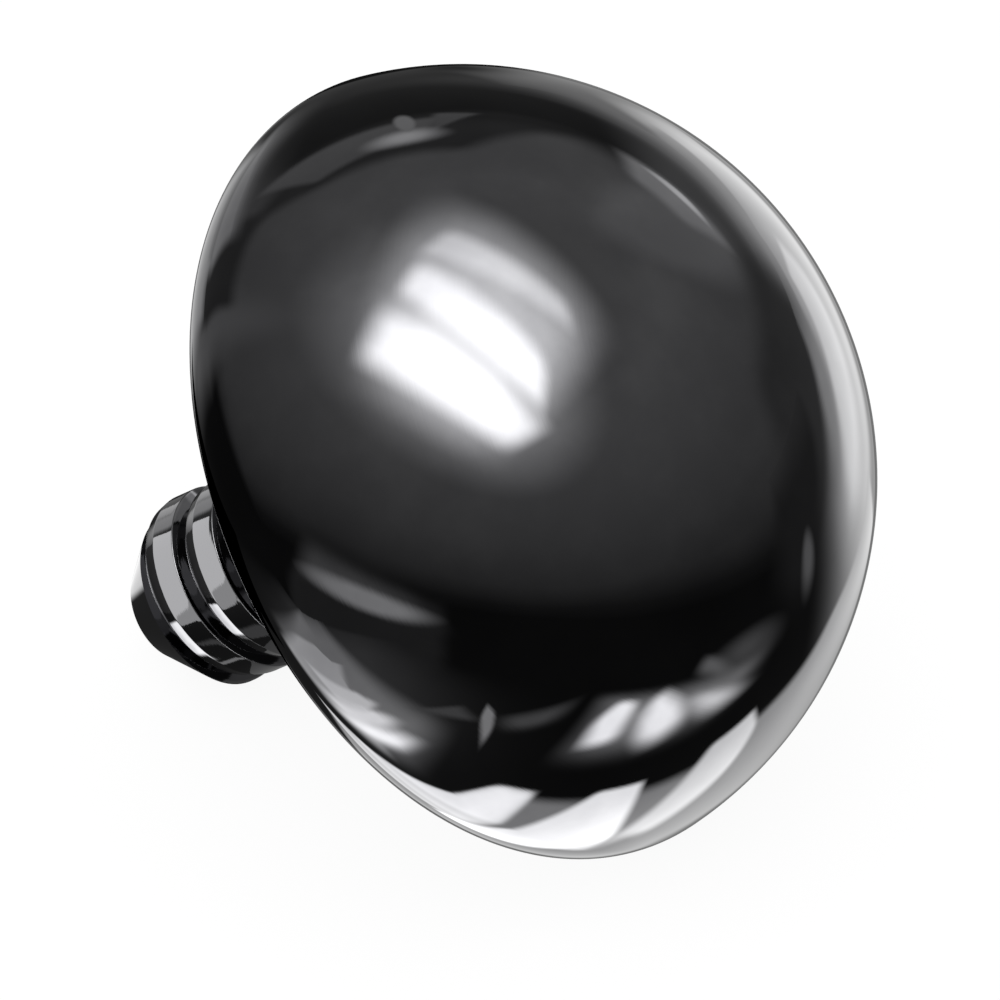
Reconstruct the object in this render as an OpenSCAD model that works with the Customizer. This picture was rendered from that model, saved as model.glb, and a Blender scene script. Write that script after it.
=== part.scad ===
// Domed end for body jewellery with an internal thread: a mirror-black head and a
// threaded post that screws into a barbell or a skin anchor. It is shown as it lies
// by itself on a flat surface, on the head's edge and the tip of the post.

/* [Head] */
// Diameter of the head at its widest line
head_d = 5; // [4.5:0.1:8]
// Height of the dome over the widest line
dome_h = 2.21; // [1.5:0.01:2.25]
// Radius of the rounded edge between the dome and the flat back
edge_r = 0.47; // [0.2:0.01:0.6]

/* [Post] */
// Diameter over the crests of the thread
thread_d = 1.22; // [1:0.02:1.6]
// Length of the post behind the head's flat back
post_l = 2.33; // [1.8:0.01:3]
// Length of the plain shoulder between the back and the thread
shoulder_l = 0.4; // [0.3:0.05:0.6]
// Diameter of the flat tip
tip_d = 0.64; // [0.5:0.02:0.8]
// Length of the bevel at the tip
bevel_l = 0.38; // [0.2:0.01:0.4]

/* [Thread] */
// Distance from one crest to the next
pitch = 0.34; // [0.25:0.01:0.4]
// Width of the groove at the crests
groove_w = 0.1; // [0.08:0.01:0.14]
// Depth of the groove
groove_depth = 0.085; // [0.06:0.005:0.1]
// Width of the flat at the bottom of the groove
root_w = 0.02; // [0.01:0.01:0.04]

/* [Joint between head and post] */
// Diameter of the plain pin that is pressed into the head
pin_d = 0.8; // [0.6:0.05:0.9]
// Length of the pin inside the head
pin_l = 1.1; // [0.6:0.05:1.3]
// Depth of the seat that takes the shoulder
seat_depth = 0.04; // [0.03:0.01:0.08]
// Gap between the two pieces
gap = 0.01; // [0.005:0.005:0.02]

/* [Hidden] */
$fn = 96;

head_r = head_d / 2;
crest_r = thread_d / 2;
tip_r = tip_d / 2;
// heights are measured along the axis from the head's widest line, towards the dome
back_z = -edge_r;
tip_z = back_z - post_l;
shoulder_z = back_z - shoulder_l;
bevel_z = tip_z + bevel_l;

// the edge's circle is centred on the widest line, and the dome's sphere touches it inside
edge_centre_r = head_r - edge_r;
dome_r = (pow(edge_centre_r, 2) + pow(dome_h, 2) - pow(edge_r, 2)) / (2 * (dome_h - edge_r));
dome_centre_z = dome_h - dome_r;
touch_r = dome_r * sin(atan2(edge_centre_r, -dome_centre_z));

// the thread's crests narrow by this much of a millimetre on radius towards the tip
crest_taper = 0.004;
// height of a groove's middle on the side that faces the surface at rest
groove_z = -1.976;
// the groove is counted in turns from there: it starts past the tip and ends at the shoulder
first_turn = -ceil((groove_z - tip_z) / pitch) - 1;
last_turn = (shoulder_z - groove_w - groove_z) / pitch;
// turns over which the groove grows shallow at the shoulder
runout_turns = 0.5;
// the groove's cutter stands proud of the crests by this much
cutter_over = 0.05;
// sections of the cutter in one turn and in all
groove_steps = 24;
ring_count = round((last_turn - first_turn) * groove_steps);

// the axis rises at this angle when the surface touches the rounded edge and one rim of the post
function lean_on(r, z) = atan2(edge_centre_r - r, -z) + asin(edge_r / norm([edge_centre_r - r, -z]));
// at rest that rim is the tip's, unless the bevel is so short that its upper rim touches first
lean = min(lean_on(tip_r, tip_z), lean_on(crest_r, bevel_z));
rest_height = edge_centre_r * cos(lean) + edge_r;
// middle of the box that the leaning part fills, along the lean
front_x = dome_centre_z * cos(lean) + dome_r;
rear_x = tip_z * cos(lean) - tip_r * sin(lean);
middle_x = (front_x + rear_x) / 2;

module at_rest() {
    translate([-middle_x, 0, rest_height]) rotate([0, 90 - lean, 0]) children();
}

// half of the head's section: the dome, the rounded edge and the core behind the dome
module head_section() {
    intersection() {
        translate([0, dome_centre_z]) circle(dome_r);
        square([touch_r, 2 * dome_h]);
    }
    translate([edge_centre_r, 0]) circle(edge_r);
    translate([0, back_z]) square([edge_centre_r, 2 * edge_r]);
}

module domed_head() {
    color("#26262a") at_rest() difference() {
        rotate_extrude() head_section();
        translate([0, 0, back_z - edge_r]) cylinder(h = edge_r + seat_depth, r = crest_r + gap);
        translate([0, 0, back_z]) cylinder(h = pin_l + gap, r = pin_d / 2 + gap);
    }
}

// one turn of the groove's middle is a pitch of height, rising anticlockwise seen from the dome
function groove_height(turn) = groove_z + pitch * turn;

// share of the full depth, which falls to nothing towards the shoulder
function fade(turn) = min((last_turn - turn) / runout_turns, 1);

// depth of the cutter below the crests; at the very end it is clear of them
function cut_depth(turn) = groove_depth * fade(turn) - cutter_over / 2 * (1 - fade(turn));

// four corners of the cutter's section at one point of the helix
function cutter_ring(turn) = let (
    deep = crest_r - cut_depth(turn),
    out = crest_r + cutter_over,
    flank = (groove_w - root_w) / 2 / groove_depth,
    half_deep = root_w / 2,
    half_out = half_deep + flank * (out - deep)
) [for (p = [[out, -half_out], [deep, -half_deep], [deep, half_deep], [out, half_out]])
    [p[0] * cos(360 * turn), p[0] * sin(360 * turn), groove_height(turn) + p[1]]];

module groove_cutter() {
    rings = [for (i = [0 : ring_count]) cutter_ring(first_turn + i / groove_steps)];
    points = [for (ring = rings) each ring];
    sides = [for (i = [0 : ring_count - 1]) for (j = [0 : 3]) let (
        a = 4 * i + j, b = 4 * i + (j + 1) % 4)
        each [[a, b + 4, b], [a, a + 4, b + 4]]];
    last = 4 * ring_count;
    caps = [[0, 1, 2, 3], [last + 3, last + 2, last + 1, last]];
    polyhedron(points = points, faces = concat(sides, caps));
}

module threaded_length() {
    difference() {
        union() {
            translate([0, 0, bevel_z])
                cylinder(h = shoulder_z - bevel_z, r1 = crest_r - crest_taper, r2 = crest_r);
            translate([0, 0, tip_z])
                cylinder(h = bevel_l, r1 = tip_r, r2 = crest_r - crest_taper);
        }
        groove_cutter();
    }
}

module threaded_post() {
    color("#37373b") at_rest() {
        threaded_length();
        translate([0, 0, shoulder_z]) cylinder(h = shoulder_l + seat_depth - gap, r = crest_r);
        translate([0, 0, back_z]) cylinder(h = pin_l, r = pin_d / 2);
    }
}

domed_head();
threaded_post();
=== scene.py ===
from math import asin, atan2, ceil, cos, hypot, pi, radians, sin, tan

import bmesh
import bpy
from mathutils import Matrix, Vector


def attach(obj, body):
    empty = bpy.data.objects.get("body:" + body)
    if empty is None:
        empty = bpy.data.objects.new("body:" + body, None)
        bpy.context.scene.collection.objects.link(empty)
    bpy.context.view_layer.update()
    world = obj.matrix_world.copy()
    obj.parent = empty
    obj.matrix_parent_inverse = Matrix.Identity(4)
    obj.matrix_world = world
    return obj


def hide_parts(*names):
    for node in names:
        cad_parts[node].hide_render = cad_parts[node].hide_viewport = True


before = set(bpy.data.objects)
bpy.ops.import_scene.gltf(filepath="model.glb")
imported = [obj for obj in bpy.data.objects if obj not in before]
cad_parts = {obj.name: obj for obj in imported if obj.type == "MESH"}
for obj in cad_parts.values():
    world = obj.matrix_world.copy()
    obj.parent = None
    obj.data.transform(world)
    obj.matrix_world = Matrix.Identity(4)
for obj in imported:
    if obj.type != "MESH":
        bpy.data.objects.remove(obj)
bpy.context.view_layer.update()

MM = 0.001

# Sizes in millimetres, the same as the CAD part's. Heights run along the axis from the
# head's widest line towards the dome.
HEAD_R = 2.5
DOME_H = 2.21
EDGE_R = 0.47
BACK_Z = -EDGE_R
SEAT_Z = BACK_Z + 0.04
SEAT_R = 0.62
BORE_R = 0.41
BORE_Z = BACK_Z + 1.11
CREST_R = 0.61
SHOULDER_Z = BACK_Z - 0.4
SHOULDER_TOP_Z = BACK_Z + 0.03
PIN_R = 0.4
PIN_Z = BACK_Z + 1.1
TIP_R = 0.32
TIP_Z = BACK_Z - 2.33
BEVEL_Z = TIP_Z + 0.38
PITCH = 0.34
GROOVE_W = 0.1
GROOVE_DEPTH = 0.085
ROOT_W = 0.02
# height of a groove's middle on the side that faces the floor
GROOVE_Z = -1.976
# the groove's last turn, and the turns over which it grows shallow before it
LAST_TURN = (SHOULDER_Z - GROOVE_W - GROOVE_Z) / PITCH
RUNOUT_TURNS = 0.5

# The dome's sphere touches the rounded edge inside.
EDGE_CENTRE_R = HEAD_R - EDGE_R
DOME_R = (EDGE_CENTRE_R ** 2 + DOME_H ** 2 - EDGE_R ** 2) / (2 * (DOME_H - EDGE_R))
DOME_CENTRE_Z = DOME_H - DOME_R
TOUCH_ANGLE = atan2(EDGE_CENTRE_R, -DOME_CENTRE_Z)

# The crest's edge towards the tip is worn to a shallow slope.
WORN_WIDTH = 0.08
WORN_DEPTH = 0.0215

# Radii of the small rounded edges of the thread: crisp edge, root, and the slope's foot and top.
CRISP_EDGE_R = 0.008
ROOT_EDGE_R = 0.004
SLOPE_FOOT_R = 0.01
SLOPE_TOP_R = 0.05
# radius of the seat's rim, and width of the small bevels on the shoulder's and the pin's ends
SEAT_RIM_R = 0.015
END_BEVEL = 0.02

# How finely the turned shapes are divided round the axis and along their curves.
HEAD_STEPS = 224
DOME_STEPS = 96
EDGE_STEPS = 40
SEAT_RIM_STEPS = 5
THREAD_STEPS = 160
CORNER_STEPS = 5
# longest step on the straight lines of the thread's section
LONGEST_LINE = 0.03
# rings on the flat back and on the tip's face, which keep their faces from growing long
BACK_RINGS = (1.6, 1.1)
TIP_RINGS = (TIP_R - 0.006, TIP_R - 0.1)
# level cuts through the bevel, for the same reason
BEVEL_CUTS = 8
BEVEL_CUT_STEP = 0.02
# points closer than the first are one; the bevel's seam and the level cuts are found more closely
CLOSE = 1e-4
SEAM_CLOSE = 1e-5
CUT_CLOSE = 1e-6
# edges bent by more than this stay sharp
SHARP_ANGLE = radians(28)

# At rest the floor touches the rounded edge and the tip's rim.
LEAN = atan2(EDGE_CENTRE_R - TIP_R, -TIP_Z) + asin(EDGE_R / hypot(EDGE_CENTRE_R - TIP_R, TIP_Z))
REST_HEIGHT = EDGE_CENTRE_R * cos(LEAN) + EDGE_R
FRONT_X = DOME_CENTRE_Z * cos(LEAN) + DOME_R
REAR_X = TIP_Z * cos(LEAN) - TIP_R * sin(LEAN)
MIDDLE_X = (FRONT_X + REAR_X) / 2
AT_REST = (
    Matrix.Scale(MM, 4)
    @ Matrix.Translation((-MIDDLE_X, 0, REST_HEIGHT))
    @ Matrix.Rotation(pi / 2 - LEAN, 4, "Y")
)

# The camera isn't rolled. It stands this many degrees round from the front and over the floor,
# and this far from the head's middle.
VIEW_AZIMUTH = 18.65
VIEW_ELEVATION = 41.02
VIEW_DISTANCE = 125
PIXELS_PER_MM = 165
PICTURE_PX = 1000
SENSOR_WIDTH = 36
# nearest and farthest distance that it sees, in metres
CLIP = (0.01, 10)
# where the middle of the head's widest circle falls in the picture, from its centre
MIDDLE_RIGHT_PX = -0.7
MIDDLE_UP_PX = 36.8

# Tones of the black coating from its dark clouds to its pale ones.
HEAD_TONES = ((0.088, 0.088, 0.092, 1), (0.108, 0.108, 0.112, 1))
POST_TONES = ((0.09, 0.09, 0.095, 1), (0.12, 0.12, 0.125, 1))
# Tone of worn crests, the distances from the axis over which the wear sets in, and how far
# its border wanders.
WORN_TONE = (0.15, 0.15, 0.155, 1)
WORN_RADIUS = (0.6, 0.615)
WORN_WANDER = 0.02
# Scale, detail and roughness of the noise that draws clouds, smears and turning marks.
CLOUD_NOISE = (1.3, 4.0, 0.55)
SMEAR_NOISE = (9.0, 5.0, 0.6)
MARK_NOISE = (1.0, 3.0, 0.6)
# the part of the cloud noise over which the tone goes from dark to pale
CLOUD_RANGE = (0.35, 0.68)
# turning marks to a millimetre across them and to a radian along them, and their depth
MARKS_PER_MM = 60.0
MARKS_PER_RADIAN = 0.8
MARK_DEPTH = 0.002
# roughness that the smears give, and the strength of the turning marks
HEAD_SMEAR = 0.02
HEAD_MARKS = 0.02
POST_SMEAR = 0.05
POST_MARKS = 0.15

# The studio as the polished metal mirrors it. Each patch of light has a strength and a shape:
# the softness of its edge with its corners, or with its middle, half sizes and turn.
# Without its patches the room's light changes with the height along this direction only, and
# each row has such a height and the light there.
SKYLINE = (0.206, 0.136, 0.968)
ROOM_LIGHT = [
    (-0.2, 0.0269),
    (-0.05, 0.0253),
    (0, 0.0473),
    (0.1, 0.154),
    (0.27, 0.263),
    (0.5, 0.367),
    (0.8, 0.474),
    (1, 0.354),
]
# The room's plane is degrees clockwise from straight away and degrees over the horizon.
ROOM_PATCHES = [
    (0.506, (7.01, (-68.8, -15.3), (-53, -15.3), (-62.5, 30.7), (-79.9, 48.9))),
    (0.121, (2.25, (-57.4, -10.3), (-46, -18), (-39.4, 25.3), (-66.1, 29.8))),
    (0.984, (3.42, (-49.7, -14.8), (-9.66, -10.1), (-28.7, 10.7), (-44.8, 20.6))),
    (0.132, (2.87, (-44.2, 24.1), (19.8, 12.9), (0.858, 35.1), (-30.8, 32.6))),
    (0.0596, (5.61, (-32.7, 20.8), (-12.9, -11.1), (11, -10.7), (28.3, 17))),
    (0.402, (1.42, (-34.6, 18), (-2.15, 18.1), (-7.28, 28.3), (-29.3, 29.7))),
    (0.375, (1.03, (-3.78, 15.9), (2.53, 16.5), (-4, 24.9), (-5.09, 26.3))),
    (1.58, (0.796, (-9.75, 26.3), (5.24, 2.76), -0.869)),
    (0.784, (0.308, (-8.4, 19.1), (1.43, 4.4), 1.73)),
    (0.65, (0.363, (43.2, 25.4), (12.1, 17), -0.415)),
    (1.9, (7.68, (9.32, -4.8), (52, -13.3), (41.1, -1.22), (20.5, -1.57))),
    (0.161, (4.99, (56.2, -19.9), (86.9, -19), (73.8, 9.98), (39.1, 6.43))),
    (1.14, (2.16, (22.7, 13.8), (43.6, 9.1), (41.1, 18.9), (28.9, 21.3))),
    (2.69, (0.603, (33.1, 12.6), (5.16, 1.1), -10.2)),
    (0.37, (4, (-174, 0.5), (-137, 1.5), (-136, 14), (-158, 11), (-170, 6.5))),
    (0.1, (3, (-175, -8), (-134, -8), (-134, 6), (-175, 6))),
    (1.5, (0.5, (-155, 4.5), (15.2, 2.9), 8.69)),
]
# The overhead light's plane is level and one unit over the head, x to the right and y away.
# Its x and y are a direction's own, divided by the direction's z or by this where z is less.
# Its patches add up: three bright strips, a soft field round them and a wide faint halo.
LEAST_Z = 0.05
OVERHEAD_LIGHT = [
    (2.65, (0.055, (-0.17, 0.314), (0.54, -0.045), (0.502, 0.09), (-0.052, 0.445))),
    (5.7, (0.065, (-0.274, 0.093), (0.457, -0.543), (0.42, -0.253), (-0.178, 0.254))),
    (6.6, (0.1, (-0.515, -0.215), (0.3, -0.853), (0.5, -0.682), (-0.34, 0.032))),
    (4.5, (0.27, (-0.402, -0.363), (0.183, -0.825), (0.638, -0.045), (-0.078, 0.53))),
    (1.7, (1.16, (0.0526, -0.399), (0.599, 0.351), -45.6)),
]
# The table's plane is in millimetres from under the head's middle, x to the right and y away.
# Its light fades into the room's between these sines of the angle below the horizon.
TABLE_SIZE = 1200
TABLE_Z = 0.004
TABLE_FADE = (0.008, 0.14)
TABLE_LIGHT = [
    (0.0909, (0.451, (-2.31, 2.9), (-0.263, 7.18), (-11.8, 60.8), (-60, 60), (-58.7, 56))),
    (1.07, (0.941, (-3.84, 2.54), (-2.77, 5.29), (-12.2, 28.1), (-32.5, 20.5))),
    (0.071, (0.47, (-1.09, 6.22), (3.96, 60.3), (-12.9, 55.9))),
    (0.392, (0.742, (0.0591, 5.48), (2.26, 5.65), (12.1, 36.1), (2.7, 40.5))),
    (0.0821, (0.873, (4.36, -0.163), (6.4, -1.47), (60.4, 2.02), (42, 23.5), (11.3, 3.43))),
    (1.13, (1.02, (2.47, 0.245), (5.47, 0.567), (11, 4.68), (24.3, 20.1), (26, 43.1),
        (12.2, 33.4), (4.79, 19.7), (2.09, 10.1))),
    (1.79, (0.882, (3.77, 1.18), (6.16, 1.69), (8.5, 4.8), (14.9, 14.7), (16.7, 23.9),
        (5.34, 16.5), (3.19, 10.5))),
    (2.75, (0.55, (4.69, 1.56), (5.88, 2.03), (8.22, 4.73), (12.1, 14), (7.96, 11.7),
        (5.65, 6.99))),
    (0.581, (0.411, (2.8, 1.04), (4.01, 1.97), (3.81, 3.73), (4.09, 6.01), (3.11, 8.74),
        (1.51, 8.31))),
    (0.241, (3.4, (-1.2, -3.76), (-3.57, -2.03), (-23.6, -19.1), (-10.6, -26.2), (-0.41, -8.05))),
    (1.14, (0.633, (-1.27, -3.45), (-4.41, -2.36), (-22.2, -24.3), (-18.6, -25.7),
        (-0.713, -5.84))),
    (2.47, (0.257, (-1.47, -3.31), (-3.84, -2.03), (-5.55, -4.44), (-6.57, -8), (-5.26, -9.57),
        (-2.83, -5.76))),
    (4.03, (0.222, (-3.84, -3.27), (-3.3, -6.94), (-2.42, -6.62), (-2.31, -6.05), (-2.9, -3.65))),
    (5.76, (0.31, (-3.01, -2.91), (-2.49, -5.97), (-2.17, -6.1), (-1.58, -5.7), (-2.48, -3.2))),
    (8.79, (0.357, (-2.52, -2.5), (-2.28, -4.15), (-1.61, -5.27), (-0.934, -4.78), (-1.89, -3.24),
        (-2.14, -3.06))),
    (1.07, (0.483, (1.89, -3.26), (1.22, -3.78), (3.19, -5.56), (3.71, -4.12), (4.41, -1.81),
        (3.49, -1.85))),
    (0.392, (1, (4.75, -2.27), (0.571, 0.655), -3.83)),
    (8.47, (0.225, (1.59, -4), (2.28, -4.67), (3.1, -4.86), (3.18, -4.41), (2.03, -3.72))),
    (8.21, (0.309, (2.15, -3.14), (2.36, -3.6), (3.34, -4.09), (3.64, -4), (3.18, -3.06),
        (2.61, -2.89))),
    (4.9, (0.314, (2.96, -2.5), (3.4, -3.16), (3.78, -2.77), (3.53, -1.98), (3.53, -1.97))),
    (0.788, (0.257, (3.87, -2.36), (4.33, -3.48), (4.98, -3.58), (4.76, -3.02))),
    (1.43, (0.0883, (0.127, -4.96), (0.228, -6.39), (0.497, -7.31), (0.6, -6.59), (0.407, -5.59))),
    (0.421, (0.369, (0.744, -5.41), (0.727, -6.19), (2.47, -6.1), (1.67, -5.38), (0.973, -5.35))),
    (0.377, (0.234, (-1.48, -6.83), (-0.255, -7.31), (0.0898, -6.21))),
    (0.568, (0.639, (6.71, -0.094), (1.34, 0.242), 13.3)),
]
# The part lies on a bright plate in front, over a dark place of painted shade: the part's own
# shade on the table as the metal mirrors it. The last two patches are dark places under and
# behind the part, which its edge mirrors as a thin dark outline.
PLATE_LIGHT = [
    (1.41, (0.12, (-2.2, -1.87), (-0.6, -3.3), (0.302, -3.32), (2.69, -1.3), (3.59, 0.143),
        (3.89, 2.37), (1.92, 1.03))),
    # painted shade: the dark place under the part, which the head's lower side mirrors
    (0.289, (0.625, (-1.15, -0.67), (-0.00764, -1.52), (1.86, -0.96), (2.9, 0.706), (2.43, 3.17),
        (1.22, 6.27), (-1.58, 6.52), (-2.12, 4.51), (-1.79, 3.08))),
    (4, (0.07, (-2.5, -1.88), (-2.2, -2.17), (-0.43, -3.38), (0.22, -3.57), (0.58, -3.26),
        (-0.6, -2.1), (-1.3, -1.97))),
    (5.6, (0.1, (-1.98, -2.33), (-0.43, -3.37), (0.22, -3.56), (0.57, -3.25), (-0.38, -2.33))),
    (7.6, (0.12, (-1.45, -2.72), (-0.43, -3.37), (0.22, -3.56), (0.57, -3.25), (0.03, -2.72))),
    (6.58, (0.0669, (-0.583, -2.16), (0.0977, -2.61), (1.2, -2.77), (1.6, -2.45), (0.888, -1.92),
        (-0.761, -1.88))),
    (3.89, (0.0766, (0.51, -1.93), (2.32, -1.93), (2.82, -1.47), (2.55, -1.3), (2.02, -1.35))),
    (1.29, (0.1, (-1.75, -1.6), (-1.6, -1.93), (-0.331, -2.05), (0.429, -2.12), (1.03, -1.82),
        (1.13, -1.46), (-1.19, -1.3))),
    (0.24, (0.08, (0.16, -1.72), (0.9, -1.5), (1.48, -0.97), (2.45, 0.42), (2.85, 1.4),
        (3.1, 2.5), (3.15, 3.6), (3, 4.9), (2.7, 6.1), (2.15, 7.4), (1, 8.6), (-0.8, 8.9),
        (-2.4, 8.6), (-3.4, 6.6), (-3.7, 4.6), (-3.6, 2.6), (-3.3, 1), (-2.4, -0.45),
        (-1.3, -1.3), (-0.6, -1.62))),
    (0.01, (0.35, (0.3, 4.8), (0.4, 8.4), (-2.3, 9.8), (-1.6, 5.2))),
]
# The side card stands squared up to the camera at this x, from the front y to the back y.
SIDE_CARD_X = -3.2
SIDE_CARD_Y = (-1.45, 1.42)
SIDE_CARD_HEIGHT = 2.05
# it steps from dim to bright at this y, and from white to its black top edge at this height
SIDE_CARD_STEP_Y = (-0.78, -0.72)
SIDE_CARD_WHITE_TOP = (1.63, 1.67)
# its foot is black as well, within these corners as (y, z), which keeps the worn slopes dark
SIDE_CARD_FOOT = ((-0.32, -0.1), (1.6, -0.1), (1.6, 1.05), (0.5, 1.0), (0.0, 0.72))
SIDE_CARD_FOOT_SOFT = 0.05
SIDE_CARD_DIM = 1.45
SIDE_CARD_BRIGHT = 2.65
SIDE_CARD_BLACK = 0.12
# and it stands this far over the floor
CARD_GAP = 0.01
# The low card lies between these sides: left, front, right and back.
LOW_CARD_SIDES = (-3.3, -0.5, -1.5, 2.9)
LOW_CARD_Z = 0.008
# its dark ground is painted shade: the floor's shade under and beside the post's tip, as the post
# mirrors it
LOW_CARD_PAINTED_SHADE = 0.04
LOW_CARD_LIGHT = [
    (5.3, (0.05, (-2.9, -0.42), (-2.3, -0.4), (-1.85, -0.22), (-2.08, 0.05), (-2.7, 0.1),
        (-2.9, -0.15))),
    (1.4, (0.08, (-2.85, 1.05), (-2.3, 1.05), (-2.3, 1.85), (-2.85, 1.85))),
    (0.8, (0.4, (-1.68, -0.19), (0.2, 0.03), -18.6)),
]
# share of the floor's look that takes shade, and the brightness of the rest of it and of the sky
FLOOR_SHADE = 0.12
FLOOR_BRIGHTNESS = 1.05
SKY_BRIGHTNESS = 0.92
WHITE = (1, 1, 1, 1)
FLOOR_TONE = (0.9, 0.9, 0.9, 1)
# The lamp overhead: its width, its power in watts and its place.
LAMP_WIDTH = 120
LAMP_POWER = 0.012
LAMP_PLACE = (-20, -30, 150)


def arc(centre_r, centre_z, radius, start, end, steps):
    """Points of an arc as (r, z); angles in radians from the axis towards the outside."""
    points = []
    for i in range(steps + 1):
        angle = start + (end - start) * i / steps
        points.append((centre_r + radius * sin(angle), centre_z + radius * cos(angle)))
    return points


def outline_to_mesh(bm, points):
    """A row of edges through (r, z) points, on the local XZ plane."""
    verts = [bm.verts.new((r, 0, z)) for r, z in points]
    for a, b in zip(verts, verts[1:]):
        bm.edges.new((a, b))
    return verts


def mark_edges(bm, angle):
    """Smooth faces all over, with the sharp edges that are bent by more than an angle."""
    for face in bm.faces:
        face.smooth = True
    for edge in bm.edges:
        edge.smooth = not edge.is_manifold or edge.calc_face_angle(0) < angle


def finish_piece(bm, name, node, material):
    """Makes the shape a piece in its resting place that stands for a node of the frame."""
    bmesh.ops.recalc_face_normals(bm, faces=bm.faces[:])
    mark_edges(bm, SHARP_ANGLE)
    bmesh.ops.transform(bm, matrix=AT_REST, verts=bm.verts[:])
    mesh = bpy.data.meshes.new(name)
    bm.to_mesh(mesh)
    bm.free()
    mesh.materials.append(material)
    piece = bpy.data.objects.new(name, mesh)
    bpy.context.scene.collection.objects.link(piece)
    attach(piece, "root")
    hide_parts(node)
    return piece


def head_outline():
    """The head's section from the crown over the edge and the back to the end of the bore."""
    points = arc(0, DOME_CENTRE_Z, DOME_R, 0, TOUCH_ANGLE, DOME_STEPS)
    points += arc(EDGE_CENTRE_R, 0, EDGE_R, TOUCH_ANGLE, pi, EDGE_STEPS)[1:]
    points += [(radius, BACK_Z) for radius in BACK_RINGS]
    points += arc(
        SEAT_R + SEAT_RIM_R, BACK_Z + SEAT_RIM_R, SEAT_RIM_R, pi, 1.5 * pi, SEAT_RIM_STEPS
    )
    points += [(SEAT_R, SEAT_Z), (BORE_R, SEAT_Z), (BORE_R, BORE_Z), (0, BORE_Z)]
    return points


def make_head(material):
    """The domed head: one turned solid with its blind bore."""
    bm = bmesh.new()
    outline_to_mesh(bm, head_outline())
    bmesh.ops.spin(
        bm, geom=bm.verts[:] + bm.edges[:], cent=(0, 0, 0), axis=(0, 0, 1),
        angle=2 * pi, steps=HEAD_STEPS, use_merge=True, use_duplicate=False,
    )
    bmesh.ops.remove_doubles(bm, verts=bm.verts[:], dist=CLOSE)
    return finish_piece(bm, "domed_head_polished", "domed_head", material)


def rounded(corners):
    """Points through (r, z, radius) corners, each rounded to its radius; the ends stay sharp."""
    points = [corners[0][:2]]
    for before, (r, z, radius), after in zip(corners, corners[1:], corners[2:]):
        back = Vector((before[0] - r, before[1] - z)).normalized()
        on = Vector((after[0] - r, after[1] - z)).normalized()
        half = back.angle(on) / 2
        middle = (back + on).normalized() * radius / sin(half)
        start = back * radius / tan(half) - middle
        end = on * radius / tan(half) - middle
        for i in range(CORNER_STEPS + 1):
            spoke = start.slerp(end, i / CORNER_STEPS) * radius
            points.append((r + middle.x + spoke.x, z + middle.y + spoke.y))
    points.append(corners[-1][:2])
    return points


def subdivided(points, longest):
    """The same row of points with more of them on its long straight lines."""
    row = [points[0]]
    for (r0, z0), (r1, z1) in zip(points, points[1:]):
        parts = max(1, ceil(hypot(r1 - r0, z1 - z0) / longest))
        for i in range(1, parts + 1):
            row.append((r0 + (r1 - r0) * i / parts, z0 + (z1 - z0) * i / parts))
    return row


def thread_outline():
    """One pitch of the thread's section, from the middle of one crest to the next."""
    root_r = CREST_R - GROOVE_DEPTH
    corners = [
        (CREST_R, -PITCH / 2, 0),
        (CREST_R, -GROOVE_W / 2, CRISP_EDGE_R),
        (root_r, -ROOT_W / 2, ROOT_EDGE_R),
        (root_r, ROOT_W / 2, ROOT_EDGE_R),
        (CREST_R - WORN_DEPTH, GROOVE_W / 2, SLOPE_FOOT_R),
        (CREST_R, GROOVE_W / 2 + WORN_WIDTH, SLOPE_TOP_R),
        (CREST_R, PITCH / 2, 0),
    ]
    return subdivided(rounded(corners), LONGEST_LINE)


def screw_thread(bm):
    """Screws the thread's section one turn round the axis and stacks copies of that turn."""
    turns_below = 3
    turns = 7
    outline = [(r, z + GROOVE_Z - turns_below * PITCH) for r, z in thread_outline()]
    outline_to_mesh(bm, outline)
    bmesh.ops.spin(
        bm, geom=bm.verts[:] + bm.edges[:], cent=(0, 0, 0), axis=(0, 0, 1),
        dvec=(0, 0, PITCH / THREAD_STEPS), angle=2 * pi, steps=THREAD_STEPS,
        use_merge=False, use_duplicate=False,
    )
    one_turn = bm.verts[:] + bm.edges[:] + bm.faces[:]
    for i in range(1, turns):
        turn = bmesh.ops.duplicate(bm, geom=one_turn)["geom"]
        verts = [g for g in turn if isinstance(g, bmesh.types.BMVert)]
        bmesh.ops.translate(bm, vec=(0, 0, i * PITCH), verts=verts)
    bmesh.ops.remove_doubles(bm, verts=bm.verts[:], dist=CLOSE)


def fade_groove(bm):
    """Lets the groove grow shallow and end before the shoulder."""
    for vert in bm.verts:
        radius = hypot(vert.co.x, vert.co.y)
        around = atan2(vert.co.y, vert.co.x) / (2 * pi)
        turn = round((vert.co.z - GROOVE_Z) / PITCH - around) + around
        share = min(max((LAST_TURN - turn) / RUNOUT_TURNS, 0), 1)
        scale = (CREST_R - (CREST_R - radius) * share) / radius
        vert.co.x *= scale
        vert.co.y *= scale


def over_cone(point):
    """How far a point lies outside the bevel's cone."""
    cone = TIP_R + (point.z - TIP_Z) / (BEVEL_Z - TIP_Z) * (CREST_R - TIP_R)
    return hypot(point.x, point.y) - cone


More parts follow.
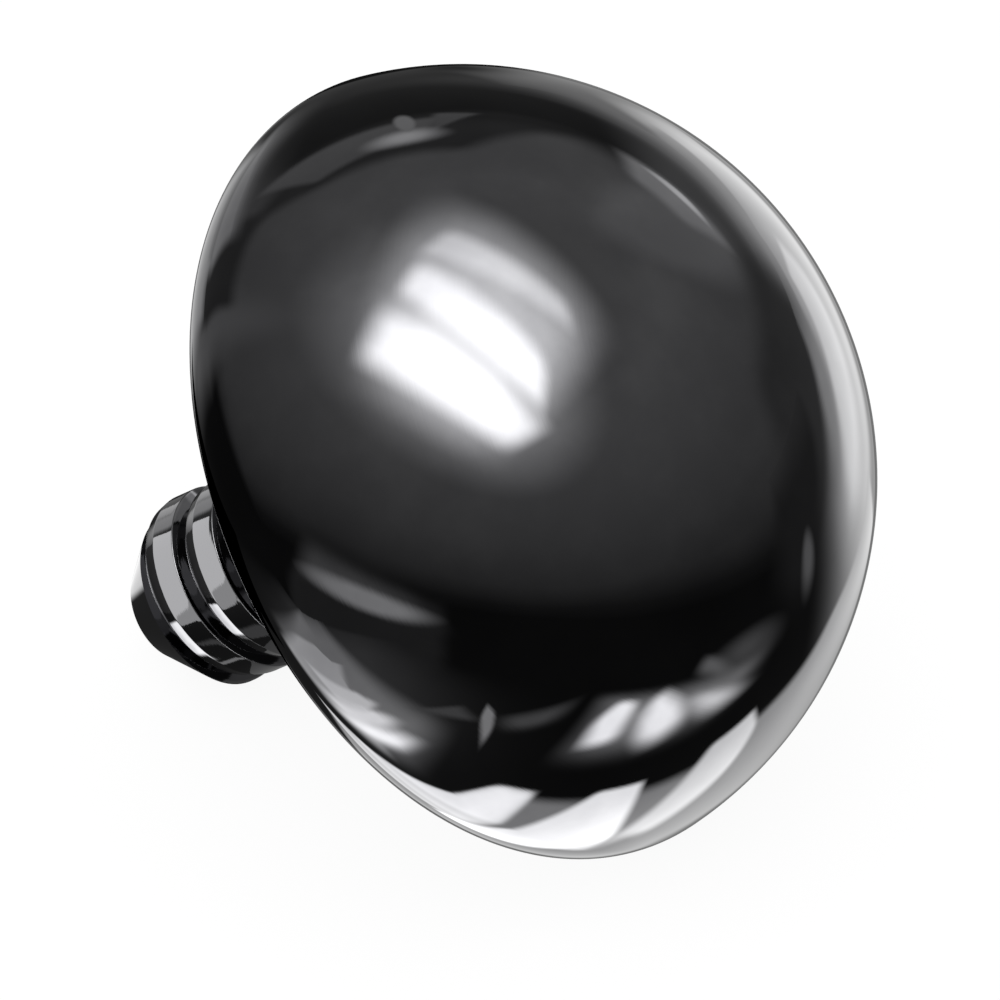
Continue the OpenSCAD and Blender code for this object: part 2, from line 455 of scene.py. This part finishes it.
def turn_down_bevel(bm):
    """Turns the thread's end down to the bevel's cone, with a clean edge where the two meet."""
    end = [face for face in bm.faces if min(vert.co.z for vert in face.verts) < BEVEL_Z]
    bmesh.ops.triangulate(bm, faces=end)
    seam = [vert for vert in bm.verts if abs(over_cone(vert.co)) <= SEAM_CLOSE]
    for edge in bm.edges[:]:
        first, second = (over_cone(vert.co) for vert in edge.verts)
        if first * second < 0 and min(abs(first), abs(second)) > SEAM_CLOSE:
            share = first / (first - second)
            seam.append(bmesh.utils.edge_split(edge, edge.verts[0], share)[1])
    bmesh.ops.connect_verts(bm, verts=seam)
    for vert in bm.verts:
        over = over_cone(vert.co)
        if over > 0:
            scale = 1 - over / hypot(vert.co.x, vert.co.y)
            vert.co.x *= scale
            vert.co.y *= scale


def cut_across(bm, height, clear_above=False, clear_below=False):
    """Cuts the shape level at a height and may take away one side."""
    bmesh.ops.bisect_plane(
        bm, geom=bm.verts[:] + bm.edges[:] + bm.faces[:], dist=CUT_CLOSE,
        plane_co=(0, 0, height), plane_no=(0, 0, 1),
        clear_outer=clear_above, clear_inner=clear_below,
    )


def open_ring(bm, height):
    """The open edges that lie at a height."""
    return [
        e for e in bm.edges
        if e.is_boundary and all(abs(v.co.z - height) < CLOSE for v in e.verts)
    ]


def pull_ring(bm, edges, radius, height):
    """Draws new faces from an open ring to a circle of another radius and height."""
    new = bmesh.ops.extrude_edge_only(bm, edges=edges)["geom"]
    for vert in (g for g in new if isinstance(g, bmesh.types.BMVert)):
        scale = radius / hypot(vert.co.x, vert.co.y)
        vert.co = (vert.co.x * scale, vert.co.y * scale, height)
    return [g for g in new if isinstance(g, bmesh.types.BMEdge)]


def close_ring(bm, edges, height):
    """Closes an open ring with a flat disc of triangles round a middle point."""
    new = bmesh.ops.extrude_edge_only(bm, edges=edges)["geom"]
    verts = [g for g in new if isinstance(g, bmesh.types.BMVert)]
    bmesh.ops.pointmerge(bm, verts=verts, merge_co=(0, 0, height))


def draw_shoulder_and_pin(bm):
    """Draws the plain shoulder and the pin out of the thread's upper end."""
    ring = open_ring(bm, SHOULDER_Z)
    ring = pull_ring(bm, ring, CREST_R, SHOULDER_TOP_Z - END_BEVEL)
    ring = pull_ring(bm, ring, CREST_R - END_BEVEL, SHOULDER_TOP_Z)
    ring = pull_ring(bm, ring, PIN_R, SHOULDER_TOP_Z)
    ring = pull_ring(bm, ring, PIN_R, PIN_Z - END_BEVEL)
    ring = pull_ring(bm, ring, PIN_R - END_BEVEL, PIN_Z)
    close_ring(bm, ring, PIN_Z)


def face_tip(bm):
    """Closes the bevel's small end with the tip's flat face."""
    ring = open_ring(bm, TIP_Z)
    for radius in TIP_RINGS:
        ring = pull_ring(bm, ring, radius, TIP_Z)
    close_ring(bm, ring, TIP_Z)


def make_post(material):
    """The threaded post: turns of a screwed sheet cut to length, then the shoulder, pin and tip."""
    bm = bmesh.new()
    screw_thread(bm)
    fade_groove(bm)
    cut_across(bm, TIP_Z, clear_below=True)
    cut_across(bm, SHOULDER_Z, clear_above=True)
    for i in range(BEVEL_CUTS):
        cut_across(bm, BEVEL_Z - i * BEVEL_CUT_STEP)
    turn_down_bevel(bm)
    bmesh.ops.remove_doubles(bm, verts=bm.verts[:], dist=CLOSE)
    draw_shoulder_and_pin(bm)
    face_tip(bm)
    return finish_piece(bm, "threaded_post_turned", "threaded_post", material)


class Nodes:
    """Builds a node tree with few words: add returns a new node, most other calls its output."""

    def __init__(self, tree):
        self.tree = tree
        tree.nodes.clear()

    def add(self, kind, **values):
        node = self.tree.nodes.new(kind)
        for key, value in values.items():
            setattr(node, key, value)
        return node

    def join(self, value, socket):
        if isinstance(value, bpy.types.NodeSocket):
            self.tree.links.new(value, socket)
        else:
            socket.default_value = value

    def math(self, operation, a, b=0.0, c=0.0):
        node = self.add("ShaderNodeMath", operation=operation)
        for socket, value in zip(node.inputs, (a, b, c)):
            self.join(value, socket)
        return node.outputs[0]

    def vector(self, operation, a, b=(0, 0, 0)):
        node = self.add("ShaderNodeVectorMath", operation=operation)
        self.join(a, node.inputs[0])
        self.join(b, node.inputs[1])
        return node.outputs["Value"] if operation in ("LENGTH", "DOT_PRODUCT") else node.outputs[0]

    def ramp(self, value, low, high, out_low=0.0, out_high=1.0, smooth=True):
        node = self.add("ShaderNodeMapRange")
        node.interpolation_type = "SMOOTHSTEP" if smooth else "LINEAR"
        for socket, v in zip(node.inputs, (value, low, high, out_low, out_high)):
            self.join(v, socket)
        return node.outputs[0]

    def place(self, coords, location=(0, 0, 0), rotation=(0, 0, 0), scale=(1, 1, 1)):
        """Coordinates as seen from a thing at a place, turned and as big as the scale."""
        node = self.add("ShaderNodeMapping", vector_type="TEXTURE")
        self.join(coords, node.inputs["Vector"])
        node.inputs["Location"].default_value = location
        node.inputs["Rotation"].default_value = rotation
        node.inputs["Scale"].default_value = scale
        return node.outputs[0]

    def noise(self, coords, scale, detail, roughness):
        node = self.add("ShaderNodeTexNoise")
        self.join(coords, node.inputs["Vector"])
        node.inputs["Scale"].default_value = scale
        node.inputs["Detail"].default_value = detail
        node.inputs["Roughness"].default_value = roughness
        return node.outputs["Fac"]

    def split(self, coords):
        node = self.add("ShaderNodeSeparateXYZ")
        self.join(coords, node.inputs[0])
        return node.outputs

    def blend(self, factor, a, b):
        """A number that goes from a to b with the factor."""
        # a Mix node has sockets of its own for each kind of value
        node = self.add("ShaderNodeMix", data_type="FLOAT")
        self.join(factor, node.inputs[0])
        self.join(a, node.inputs[2])
        self.join(b, node.inputs[3])
        return node.outputs[0]

    def colour(self, factor, a, b):
        """A colour that goes from a to b with the factor."""
        node = self.add("ShaderNodeMix", data_type="RGBA")
        self.join(factor, node.inputs[0])
        self.join(a, node.inputs[6])
        self.join(b, node.inputs[7])
        return node.outputs[2]

    def bind(self, x, y, z=0.0):
        """Three numbers as one vector."""
        node = self.add("ShaderNodeCombineXYZ")
        for socket, value in zip(node.inputs, (x, y, z)):
            self.join(value, socket)
        return node.outputs[0]


def new_material(name):
    """An empty material and the helper that fills it."""
    material = bpy.data.materials.new(name)
    material.use_nodes = True
    return material, Nodes(material.node_tree)


def along_axis(n):
    """The part's own coordinates in millimetres, with z along the axis."""
    coords = n.add("ShaderNodeTexCoord").outputs["Object"]
    return n.place(
        coords, location=(-MIDDLE_X * MM, 0, REST_HEIGHT * MM),
        rotation=(0, pi / 2 - LEAN, 0), scale=(MM, MM, MM),
    )


def turning_marks(n, own, radius):
    """Fine lines that turning and polishing leave round the axis."""
    x, y, z = n.split(own)
    around = n.bind(
        n.math("MULTIPLY", radius, MARKS_PER_MM),
        n.math("MULTIPLY", z, MARKS_PER_MM),
        n.math("MULTIPLY", n.math("ARCTAN2", y, x), MARKS_PER_RADIAN),
    )
    return n.noise(around, *MARK_NOISE)


def worn_pale(n, tone, radius, fine):
    """The tone with its crests paler, where handling has worn the coating."""
    border = n.math("ADD", radius, n.math("MULTIPLY", fine, WORN_WANDER))
    return n.colour(n.ramp(border, *WORN_RADIUS), tone, WORN_TONE)


def mirror_black(name, tones, smear, marks, worn=False):
    """Black vapour coating on polished steel: dark mirror, faint smears, fine polishing marks."""
    material, n = new_material(name)
    own = along_axis(n)
    cloud = n.noise(own, *CLOUD_NOISE)
    fine = n.noise(own, *SMEAR_NOISE)
    radius = n.vector("LENGTH", n.vector("MULTIPLY", own, (1, 1, 0)))
    tone = n.colour(n.ramp(cloud, *CLOUD_RANGE), *tones)
    if worn:
        tone = worn_pale(n, tone, radius, fine)
    rough = n.math("ADD", n.math("MULTIPLY", fine, smear), n.math("MULTIPLY", cloud, smear))
    bsdf = n.add("ShaderNodeBsdfPrincipled")
    n.join(tone, bsdf.inputs["Base Color"])
    bsdf.inputs["Metallic"].default_value = 1.0
    n.join(rough, bsdf.inputs["Roughness"])
    bump = n.add("ShaderNodeBump")
    bump.inputs["Strength"].default_value = marks
    bump.inputs["Distance"].default_value = MARK_DEPTH * MM
    n.join(turning_marks(n, own, radius), bump.inputs["Height"])
    n.join(bump.outputs[0], bsdf.inputs["Normal"])
    out = n.add("ShaderNodeOutputMaterial")
    n.join(bsdf.outputs[0], out.inputs["Surface"])
    return material


def only_mirrored(obj):
    """A card that shows in polished metal but not to the camera, and casts no shade."""
    obj.visible_camera = False
    obj.visible_diffuse = False
    obj.visible_shadow = False
    obj.visible_transmission = False


def light_only(obj, piece):
    """Keeps a card's light to one piece, as a mask beside it would."""
    reached = bpy.data.collections.new(obj.name + "_reaches")
    reached.objects.link(piece)
    obj.light_linking.receiver_collection = reached


def squared_up():
    """From millimetres round the head's middle, x to the camera's right, to the frame."""
    return (
        Matrix.Scale(MM, 4) @ Matrix.Translation((-MIDDLE_X, 0, 0))
        @ Matrix.Rotation(radians(VIEW_AZIMUTH), 4, "Z")
    )


def card(name, width, depth, place, material):
    """A flat card of a size in millimetres, moved and turned to its place."""
    bm = bmesh.new()
    bmesh.ops.create_grid(bm, x_segments=1, y_segments=1, size=0.5)
    bmesh.ops.scale(bm, vec=(width, depth, 1), verts=bm.verts[:])
    bmesh.ops.transform(bm, matrix=place, verts=bm.verts[:])
    mesh = bpy.data.meshes.new(name)
    bm.to_mesh(mesh)
    bm.free()
    mesh.materials.append(material)
    obj = bpy.data.objects.new(name, mesh)
    bpy.context.scene.collection.objects.link(obj)
    return obj


def table_plane(n):
    """Millimetres from under the head's middle, x to the camera's right, and the same at z 0."""
    coords = n.add("ShaderNodeTexCoord").outputs["Object"]
    squared = n.place(
        coords, location=(-MIDDLE_X * MM, 0, 0), rotation=(0, 0, radians(VIEW_AZIMUTH)),
        scale=(MM, MM, MM),
    )
    return squared, n.vector("MULTIPLY", squared, (1, 1, 0))


def glow(n, strength):
    """Ends a tree in plain white light of the given strength."""
    light = n.add("ShaderNodeEmission")
    n.join(strength, light.inputs["Strength"])
    out = n.add("ShaderNodeOutputMaterial")
    n.join(light.outputs[0], out.inputs["Surface"])


def pane(n, plane, soft, corners):
    """A soft-edged patch with straight sides; its corners run anticlockwise."""
    mask = 1.0
    for (px, py), (qx, qy) in zip(corners, corners[1:] + corners[:1]):
        length = hypot(qx - px, qy - py)
        across = ((py - qy) / length, (qx - px) / length, 0)
        edge = px * across[0] + py * across[1]
        side = n.ramp(n.vector("DOT_PRODUCT", plane, across), edge - soft, edge + soft)
        mask = n.math("MULTIPLY", side, mask)
    return mask


def spot(n, plane, soft, middle, size, turn):
    """A soft-edged oval patch."""
    own = n.place(plane, location=(*middle, 0), rotation=(0, 0, radians(turn)), scale=(*size, 1))
    return n.ramp(n.vector("LENGTH", own), 1 - soft, 1 + soft, 1.0, 0.0)


def patch(n, plane, shape):
    """The mask of a shape given as (soft, corners...) or (soft, middle, size, turn)."""
    soft = shape[0]
    if isinstance(shape[-1], tuple):
        return pane(n, plane, soft, list(shape[1:]))
    return spot(n, plane, soft, *shape[1:])


def paint(n, plane, value, patches, share=1.0):
    """Lays patches of light over a value, one after another, each by the same share."""
    for strength, shape in patches:
        mask = n.math("MULTIPLY", patch(n, plane, shape), share)
        value = n.blend(mask, value, strength)
    return value


def even_light(n, direction):
    """The room without its patches: dark below a slightly tilted skyline, mid grey overhead."""
    height = n.vector("DOT_PRODUCT", direction, SKYLINE)
    curve = n.add("ShaderNodeFloatCurve")
    points = curve.mapping.curves[0].points
    low, high = ROOM_LIGHT[0][0], ROOM_LIGHT[-1][0]
    while len(points) < len(ROOM_LIGHT):
        points.new(0, 0)
    for point, (rise, light) in zip(points, ROOM_LIGHT):
        point.location = ((rise - low) / (high - low), light)
        point.handle_type = "VECTOR"
    curve.mapping.update()
    n.join(n.ramp(height, low, high, 0.0, 1.0, smooth=False), curve.inputs["Value"])
    return curve.outputs[0]


def room_light(n, direction):
    """The room in a direction from the head, with its patches."""
    x, y, z = n.split(direction)
    turn = n.math("DEGREES", n.math("ARCTAN2", x, y))
    rise = n.math("DEGREES", n.math("ARCSINE", z))
    return paint(n, n.bind(turn, rise), even_light(n, direction), ROOM_PATCHES)


def make_table():
    """The table as the polished metal mirrors it, just over the floor; far off it meets the room."""
    material, n = new_material("mirrored_table")
    _, plane = table_plane(n)
    direction = n.vector("NORMALIZE", n.vector("SUBTRACT", plane, (0, 0, REST_HEIGHT)))
    _, _, sink = n.split(direction)
    near = n.ramp(sink, -TABLE_FADE[0], -TABLE_FADE[1])
    value = paint(n, plane, room_light(n, direction), TABLE_LIGHT, near)
    value = paint(n, plane, value, PLATE_LIGHT)
    glow(n, value)
    place = Matrix.Scale(MM, 4) @ Matrix.Translation((0, 0, TABLE_Z))
    only_mirrored(card("mirrored_table", TABLE_SIZE, TABLE_SIZE, place, material))


def make_side_card(post):
    """A white card with black edges that stands left of the post and lights its crests."""
    material, n = new_material("side_card")
    squared, _ = table_plane(n)
    _, y, z = n.split(squared)
    white = n.ramp(y, *SIDE_CARD_STEP_Y, SIDE_CARD_DIM, SIDE_CARD_BRIGHT)
    foot = pane(n, n.bind(y, z), SIDE_CARD_FOOT_SOFT, SIDE_CARD_FOOT)
    lit = n.blend(foot, white, SIDE_CARD_BLACK)
    glow(n, n.ramp(z, *SIDE_CARD_WHITE_TOP, lit, SIDE_CARD_BLACK))
    front, back = SIDE_CARD_Y
    middle = (SIDE_CARD_X, (front + back) / 2, SIDE_CARD_HEIGHT / 2 + CARD_GAP)
    place = squared_up() @ Matrix.Translation(middle) @ Matrix.Rotation(pi / 2, 4, "Y")
    side_card = card("side_card", SIDE_CARD_HEIGHT, back - front, place, material)
    only_mirrored(side_card)
    light_only(side_card, post)


def make_low_card(post):
    """A dark card of painted shade with a few light patches, which lies beside the post's tip."""
    material, n = new_material("low_card")
    _, plane = table_plane(n)
    glow(n, paint(n, plane, LOW_CARD_PAINTED_SHADE, LOW_CARD_LIGHT))
    left, front, right, back = LOW_CARD_SIDES
    middle = ((left + right) / 2, (front + back) / 2, LOW_CARD_Z)
    place = squared_up() @ Matrix.Translation(middle)
    low_card = card("low_card", right - left, back - front, place, material)
    only_mirrored(low_card)
    light_only(low_card, post)


def make_floor():
    """The plain pale floor, lit from below as well, so that shades on it are faint."""
    material, n = new_material("pale_floor")
    diffuse = n.add("ShaderNodeBsdfDiffuse")
    diffuse.inputs["Color"].default_value = FLOOR_TONE
    light = n.add("ShaderNodeEmission")
    light.inputs["Strength"].default_value = FLOOR_BRIGHTNESS
    mix = n.add("ShaderNodeMixShader")
    mix.inputs[0].default_value = FLOOR_SHADE
    n.join(light.outputs[0], mix.inputs[1])
    n.join(diffuse.outputs[0], mix.inputs[2])
    out = n.add("ShaderNodeOutputMaterial")
    n.join(mix.outputs[0], out.inputs["Surface"])
    floor = card("floor", TABLE_SIZE, TABLE_SIZE, Matrix.Scale(MM, 4), material)
    floor.visible_glossy = False


def mirrored_room(n):
    """The room all round with its overhead light."""
    coords = n.add("ShaderNodeTexCoord").outputs["Generated"]
    direction = n.place(coords, rotation=(0, 0, radians(VIEW_AZIMUTH)))
    x, y, z = n.split(direction)
    room = room_light(n, direction)
    high = n.math("MAXIMUM", z, LEAST_Z)
    overhead = n.bind(n.math("DIVIDE", x, high), n.math("DIVIDE", y, high))
    for strength, shape in OVERHEAD_LIGHT:
        room = n.math("MULTIPLY_ADD", patch(n, overhead, shape), strength, room)
    return room


def sky(n, strength):
    """White light from all round, of the given strength."""
    light = n.add("ShaderNodeBackground")
    light.inputs["Color"].default_value = WHITE
    n.join(strength, light.inputs["Strength"])
    return light.outputs[0]


def make_world():
    """White surroundings for the floor, and the dim room for the polished metal."""
    world = bpy.data.worlds.new("studio")
    bpy.context.scene.world = world
    world.use_nodes = True
    n = Nodes(world.node_tree)
    choose = n.add("ShaderNodeMixShader")
    n.join(n.add("ShaderNodeLightPath").outputs["Is Glossy Ray"], choose.inputs[0])
    n.join(sky(n, SKY_BRIGHTNESS), choose.inputs[1])
    n.join(sky(n, mirrored_room(n)), choose.inputs[2])
    out = n.add("ShaderNodeOutputWorld")
    n.join(choose.outputs[0], out.inputs["Surface"])


def make_lamp():
    """A broad soft light overhead, which gives the part its faint shade on the floor."""
    light = bpy.data.lights.new("overhead", "AREA")
    light.shape = "DISK"
    light.size = LAMP_WIDTH * MM
    light.energy = LAMP_POWER
    lamp = bpy.data.objects.new("overhead", light)
    lamp.location = Vector(LAMP_PLACE) * MM
    lamp.rotation_euler = (-lamp.location).to_track_quat("-Z", "Y").to_euler()
    lamp.visible_glossy = False
    bpy.context.scene.collection.objects.link(lamp)


def make_camera():
    """A long lens at the photo's angle."""
    azimuth = radians(VIEW_AZIMUTH)
    elevation = radians(VIEW_ELEVATION)
    right = Vector((cos(azimuth), sin(azimuth), 0))
    back = Vector((sin(azimuth) * cos(elevation), -cos(azimuth) * cos(elevation), sin(elevation)))
    up = back.cross(right)
    middle = Vector((-MIDDLE_X, 0, REST_HEIGHT))
    place = middle + back * VIEW_DISTANCE
    place -= right * (MIDDLE_RIGHT_PX / PIXELS_PER_MM) + up * (MIDDLE_UP_PX / PIXELS_PER_MM)
    data = bpy.data.cameras.new("camera")
    data.sensor_width = SENSOR_WIDTH
    data.lens = SENSOR_WIDTH * VIEW_DISTANCE * PIXELS_PER_MM / PICTURE_PX
    data.clip_start, data.clip_end = CLIP
    camera = bpy.data.objects.new("camera", data)
    turn = Matrix((right, up, back)).transposed().to_4x4()
    camera.matrix_world = Matrix.Translation(place * MM) @ turn
    bpy.context.scene.collection.objects.link(camera)
    bpy.context.scene.camera = camera


bpy.context.scene.view_settings.view_transform = "Standard"
make_camera()
head_finish = mirror_black("head_black_mirror", HEAD_TONES, HEAD_SMEAR, HEAD_MARKS)
post_finish = mirror_black("post_black_turned", POST_TONES, POST_SMEAR, POST_MARKS, worn=True)
make_head(head_finish)
post = make_post(post_finish)
make_floor()
make_table()
make_side_card(post)
make_low_card(post)
make_world()
make_lamp()
